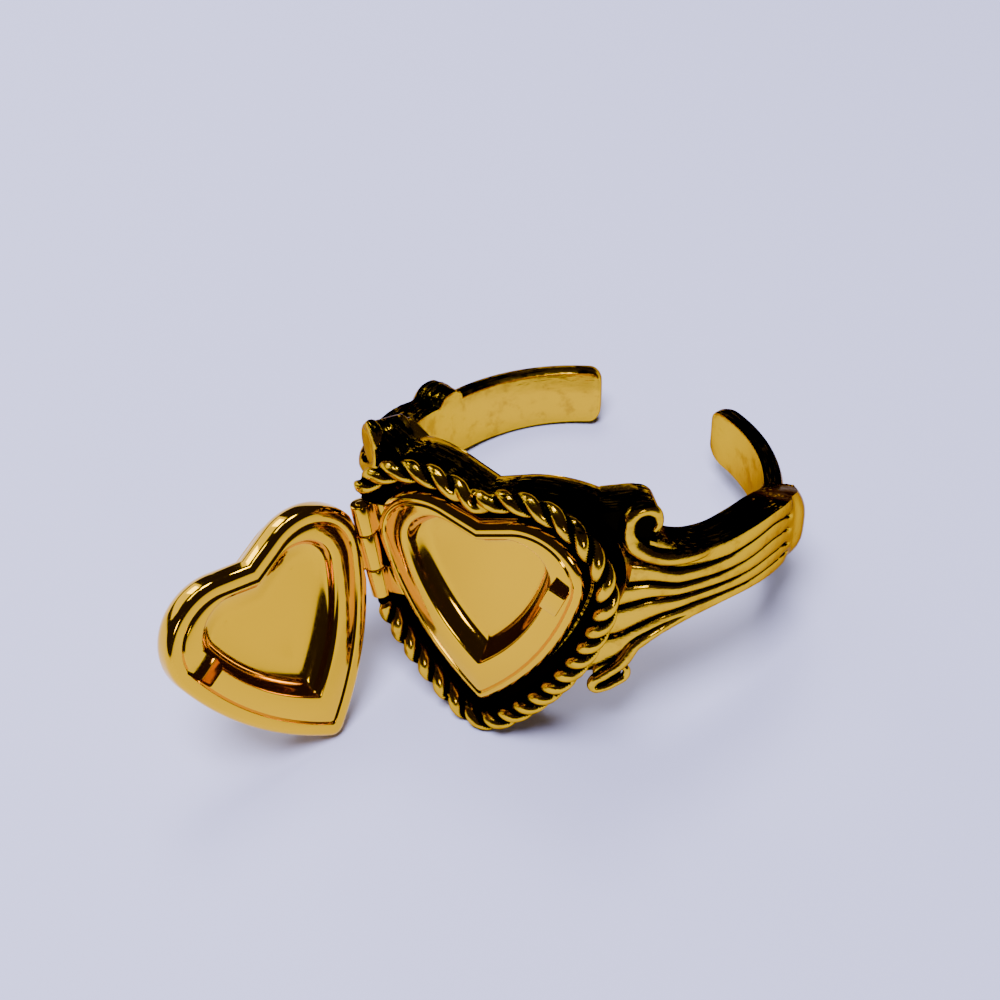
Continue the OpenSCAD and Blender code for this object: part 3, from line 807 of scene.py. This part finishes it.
def makeAntiquedGold():
    # Cast brass, gold plated, blackened and rubbed back: bright on the ridges, black in the hollows and
    # on the sides, where the black is partly patina and partly painted dark reflection
    material, tree = newMaterial("antiquedGoldPlate")
    coords = addNode(tree, "TexCoord")
    turnBack = {"rotation_type": "EULER_XYZ", "invert": True, "Rotation": tuple(layDown.to_euler())}
    upright = addNode(tree, "VectorRotate", turnBack, {"Vector": coords.outputs["Object"]}).outputs[0]
    facing = addNode(tree, "VectorRotate", turnBack, {"Vector": coords.outputs["Normal"]}).outputs[0]
    place = addNode(tree, "SeparateXYZ", {}, {"Vector": upright}).outputs
    facingUp = addNode(tree, "SeparateXYZ", {}, {"Vector": facing}).outputs["Z"]
    # Brush marks run round the ring, 0.12 mm wide and many times as long
    forward = addNode(tree, "Math", {"operation": "MULTIPLY", 1: -1.0}, {0: place["Y"]}).outputs[0]
    angle = addNode(tree, "Math", {"operation": "ARCTAN2"}, {0: place["X"], 1: forward}).outputs[0]
    flat = addNode(tree, "CombineXYZ", {}, {"X": place["X"], "Y": place["Y"]}).outputs[0]
    radius = addNode(tree, "VectorMath", {"operation": "LENGTH"}, {0: flat}).outputs["Value"]
    perMark = {"operation": "MULTIPLY", 1: 1 / (0.12 * mm)}
    across = addNode(tree, "Math", perMark, {0: radius}).outputs[0]
    along = addNode(tree, "Math", {"operation": "MULTIPLY", 1: 7.0}, {0: angle}).outputs[0]
    upwards = addNode(tree, "Math", perMark, {0: place["Z"]}).outputs[0]
    brushed = addNode(tree, "CombineXYZ", {}, {"X": across, "Y": along, "Z": upwards}).outputs[0]
    marks = addNode(tree, "TexNoise", {"Scale": 1.0, "Detail": 4.0, "Roughness": 0.6},
                    {"Vector": brushed}).outputs[0]
    smears = addNode(tree, "TexNoise", {"Scale": 1 / (1.6 * mm), "Detail": 5.0, "Roughness": 0.6},
                     {"Vector": upright}).outputs[0]
    # The sides of the ring, the faces turned along the finger hole's axis, are black, partly patina and
    # partly painted dark reflection,
    steepness = addNode(tree, "Math", {"operation": "ABSOLUTE"}, {0: facingUp}).outputs[0]
    soft = {"interpolation_type": "SMOOTHSTEP"}
    # Painted dark reflection as well as patina: this black follows which way a face turns
    sides = addNode(tree, "MapRange", soft | {"From Min": 0.55, "From Max": 0.8},
                    {"Value": steepness}).outputs[0]
    # least on the left end of the band,
    farBack = addNode(tree, "MapRange", soft | {"From Min": 1.5 * mm, "From Max": 6.5 * mm, "To Max": 0.5},
                      {"Value": place["Y"]}).outputs[0]
    onLeft = addNode(tree, "MapRange", soft | {"From Min": 2.0 * mm, "From Max": -2.0 * mm},
                     {"Value": place["X"]}).outputs[0]
    leftEnd = addNode(tree, "Math", {"operation": "MULTIPLY"}, {0: farBack, 1: onLeft}).outputs[0]
    # on the head's back edge
    inHead = addNode(tree, "MapRange", soft | {"From Min": -6.4 * mm, "From Max": -7.0 * mm, "To Max": 0.7},
                     {"Value": place["Y"]}).outputs[0]
    nearHole = addNode(tree, "MapRange", soft | {"From Min": 9.4 * mm, "From Max": 8.6 * mm},
                       {"Value": radius}).outputs[0]
    headBack = addNode(tree, "Math", {"operation": "MULTIPLY"}, {0: inHead, 1: nearHole}).outputs[0]
    rubbed = addNode(tree, "Math", {"operation": "ADD"}, {0: leftEnd, 1: headBack}).outputs[0]
    kept = addNode(tree, "Math", {"operation": "SUBTRACT", 0: 1.0}, {1: rubbed}).outputs[0]
    # and on the rope, which stands out in front
    behind = soft | {"From Min": -10.3 * mm, "From Max": -10.1 * mm, "To Min": 0.42}
    behindRope = addNode(tree, "MapRange", behind, {"Value": place["Y"]}).outputs[0]
    kept = addNode(tree, "Math", {"operation": "MULTIPLY"}, {0: kept, 1: behindRope}).outputs[0]
    sides = addNode(tree, "Math", {"operation": "MULTIPLY"}, {0: sides, 1: kept}).outputs[0]
    hollow = addNode(tree, "AmbientOcclusion", {"samples": 8, "Distance": 0.45 * mm}).outputs["AO"]
    deep = addNode(tree, "MapRange", soft | {"From Min": 0.78, "From Max": 0.5},
                   {"Value": hollow}).outputs[0]
    black = addNode(tree, "Math", {"operation": "MAXIMUM"}, {0: sides, 1: deep}).outputs[0]
    # Wear follows the brush marks, and is uneven from place to place
    scratches = soft | {"From Min": 0.46, "From Max": 0.62, "To Min": 0.1, "To Max": -0.5}
    scratched = addNode(tree, "MapRange", scratches, {"Value": marks}).outputs[0]
    patches = soft | {"From Min": 0.35, "From Max": 0.65, "To Min": 0.14, "To Max": -0.16}
    uneven = addNode(tree, "MapRange", patches, {"Value": smears}).outputs[0]
    worn = addNode(tree, "Math", {"operation": "ADD"}, {0: scratched, 1: uneven}).outputs[0]
    left = addNode(tree, "Math", {"operation": "ADD"}, {0: black, 1: worn}).outputs[0]
    cover = addNode(tree, "MapRange", soft | {"From Min": 0.36, "From Max": 0.62},
                    {"Value": left}).outputs[0]
    # Faint tarnish on the gold itself
    blotches = addNode(tree, "TexNoise", {"Scale": 1 / (1.1 * mm), "Detail": 6.0, "Roughness": 0.7},
                       {"Vector": upright}).outputs[0]
    tarnish = addNode(tree, "MapRange", soft | {"From Min": 0.5, "From Max": 0.68, "To Max": 0.5},
                      {"Value": blotches}).outputs[0]
    bright, dull, patinaAndDarkReflection = (linearColour(goldColours[k]) for k in ("cast", "tarnish", "patinaAndDarkReflection"))
    gold = addNode(tree, "Mix", {"data_type": "RGBA", 6: bright, 7: dull}, {0: tarnish}).outputs[2]
    # the black mixed in here is patina in the hollows and painted dark reflection on the sides
    colour = addNode(tree, "Mix", {"data_type": "RGBA", 7: patinaAndDarkReflection}, {0: cover, 6: gold}).outputs[2]
    rough = addNode(tree, "MapRange", {"To Min": 0.17, "To Max": 0.22}, {"Value": cover}).outputs[0]
    # The casting's grain
    grain = addNode(tree, "TexNoise", {"Scale": 1 / (0.4 * mm), "Detail": 4.0},
                    {"Vector": upright}).outputs[0]
    fine = addNode(tree, "Math", {"operation": "MULTIPLY", 1: 0.35}, {0: marks}).outputs[0]
    height = addNode(tree, "Math", {"operation": "ADD"}, {0: grain, 1: fine}).outputs[0]
    bump = addNode(tree, "Bump", {"Strength": 0.4, "Distance": 0.05 * mm}, {"Height": height}).outputs[0]
    shader = addNode(tree, "BsdfPrincipled",
                     {"Metallic": 1.0, "Specular Tint": linearColour(goldColours["edge"])},
                     {"Base Color": colour, "Roughness": rough, "Normal": bump})
    addNode(tree, "OutputMaterial", {}, {"Surface": shader.outputs["BSDF"]})
    return material


print("making the finishes")
polishedGold = makePolishedGold()
antiquedGold = makeAntiquedGold()
for piece, finish, node, body, slot in ((tray, polishedGold, "locket_tray", "ring", "polished_gold"),
                                        (lid, polishedGold, "locket_lid", "lid", "polished_gold"),
                                        (pin, polishedGold, "hinge_pin", "ring", "polished_gold"),
                                        (casting, antiquedGold, "ring", "ring", "antiqued_gold")):
    piece.data.materials.clear()
    piece.data.materials.append(finish)
    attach(piece, body)
    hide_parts(node)
blackenHollows(casting, makeBlackenedGold())

stageSize = {
    "floor": "C5C6F2",
    "floorWidth": 3,  # metres
    "floorMiddle": (0, 0.1),
    "world": "6E5A50",
    "worldStrength": 0.15,
    # Soft boxes: place, width and height in metres, power in watts, colour
    "boxes": {
        "skyBox": ((-0.03, -0.105, 0.355), (0.14, 0.14), 2.8, "F4F4FF"),
        "keyBox": ((-0.1, 0.12, 0.3), (0.1, 0.1), 0.5, "FFFFFF"),
        "windowBox": ((-0.15, 0.01, 0.26), (0.1, 0.07), 0.13, "FFFFFF"),
        "sideBox": ((-0.27, 0.03, 0.1), (0.26, 0.12), 0.14, "FFFFFF"),
        "sparkBox": ((-0.2, 0.075, 0.1), (0.05, 0.06), 0.06, "FFFFFF"),
        "frontBox": ((0.2, -0.2, 0.12), (0.05, 0.05), 0.1, "FFF4E4"),
    },
    "notReflected": "skyBox",  # it lights the floor only, so that the gold keeps its dark reflections
}


def makeStage(lowest):
    deselectAll()
    place = (*stageSize["floorMiddle"], lowest)
    bpy.ops.mesh.primitive_plane_add(size=stageSize["floorWidth"], location=place)
    floor = bpy.context.object
    floor.name = "floor"
    # Matt board, pale and without gloss
    material, tree = newMaterial("paleMattBoard")
    shader = addNode(tree, "BsdfPrincipled",
                     {"Base Color": linearColour(stageSize["floor"]), "Roughness": 0.7})
    addNode(tree, "OutputMaterial", {}, {"Surface": shader.outputs["BSDF"]})
    floor.data.materials.append(material)
    world = bpy.data.worlds.new("studio")
    world.use_nodes = True
    tree = world.node_tree
    tree.nodes.clear()
    sky = addNode(tree, "Background",
                  {"Color": linearColour(stageSize["world"]), "Strength": stageSize["worldStrength"]})
    addNode(tree, "OutputWorld", {}, {"Surface": sky.outputs["Background"]})
    bpy.context.scene.world = world


def addSoftBox(name, place, size, power, colour):
    # A soft light aimed at the ring
    deselectAll()
    bpy.ops.object.light_add(type="AREA", location=place)
    lamp = bpy.context.object
    lamp.name = name
    lamp.data.shape = "RECTANGLE"
    lamp.data.size, lamp.data.size_y = size
    lamp.data.energy = power
    lamp.data.color = linearColour(colour)[:3]
    lamp.rotation_euler = (-Vector(place)).to_track_quat("-Z", "Y").to_euler()
    lamp.visible_glossy = name != stageSize["notReflected"]


cameraSize = {
    # Round the finger hole's middle, as the ring stands before it is laid down
    "azimuth": 24.221,
    "elevation": 37.383,
    "roll": 1.49,
    "distance": 82.867,
    "aimY": -0.25,
    "lens": 63.18,
    "sensor": 36,
    "shift": -0.081,
    "nearest": 5,
}


def makeCamera():
    azimuth, elevation, roll = (math.radians(cameraSize[k]) for k in ("azimuth", "elevation", "roll"))
    flat = math.cos(elevation)
    back = Vector((math.sin(azimuth) * flat, -math.cos(azimuth) * flat, math.sin(elevation)))
    right = Vector((math.cos(azimuth), math.sin(azimuth), 0))
    up = back.cross(right)
    side = math.cos(roll) * right + math.sin(roll) * up
    top = math.cos(roll) * up - math.sin(roll) * right
    place = (back * cameraSize["distance"] + Vector((0, cameraSize["aimY"], 0))) * mm
    bpy.ops.object.camera_add()
    camera = bpy.context.object
    turn = Matrix((side, top, back)).transposed().to_4x4()
    camera.matrix_world = layDown @ (Matrix.Translation(place) @ turn)
    camera.data.lens = cameraSize["lens"]
    camera.data.sensor_width = cameraSize["sensor"]
    camera.data.shift_x = cameraSize["shift"]
    camera.data.clip_start = cameraSize["nearest"] * mm
    camera.data.dof.use_dof = False
    bpy.context.scene.camera = camera


print("setting the stage")
makeStage(startBounds[0][2])
for name, (place, size, power, colour) in stageSize["boxes"].items():
    addSoftBox(name, place, size, power, colour)
makeCamera()
